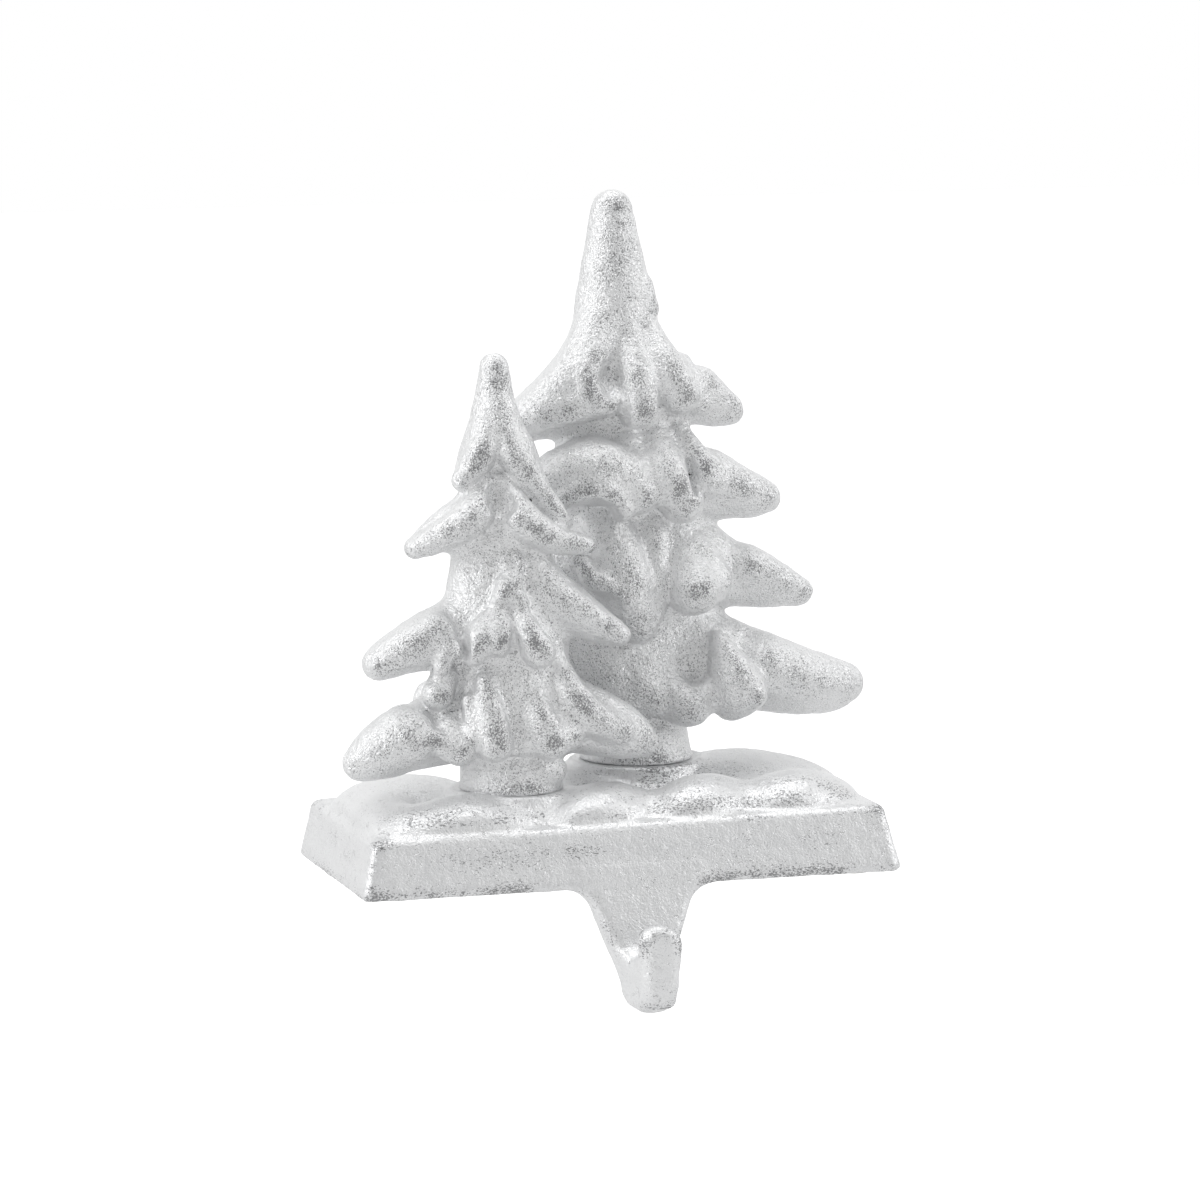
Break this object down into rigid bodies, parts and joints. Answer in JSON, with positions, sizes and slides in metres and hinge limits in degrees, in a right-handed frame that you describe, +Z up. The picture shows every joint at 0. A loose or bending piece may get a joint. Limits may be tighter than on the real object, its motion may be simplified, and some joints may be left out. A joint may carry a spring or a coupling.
{
  "type": "mantel stocking holder",
  "caption": "Cast stocking holder for a mantel shelf: a snowy block base with a J hook below its front edge and two fir trees on top.",
  "frame": {"origin": "middle of the shelf's front top edge as the holder sits on it: on the flat back of the hook, level with the bottom of the pads", "axes": "+X along the shelf, +Y back over the shelf towards the wall, +Z up"},
  "size_m": [0.1303, 0.073, 0.1805],
  "materials": {
    "casting": "rough casting in matte white paint, dry brushed with silver on its raised edges",
    "screw": "zinc plated",
    "pad": "pale soft rubber"
  },
  "bodies": {
    "root": {"base": "casting", "small_tree": "casting", "large_tree": "casting", "small_tree_screw": "screw", "large_tree_screw": "screw", "pad_front_left": "pad", "pad_front_right": "pad", "pad_rear_left": "pad", "pad_rear_right": "pad"}
  },
  "joints": []
}
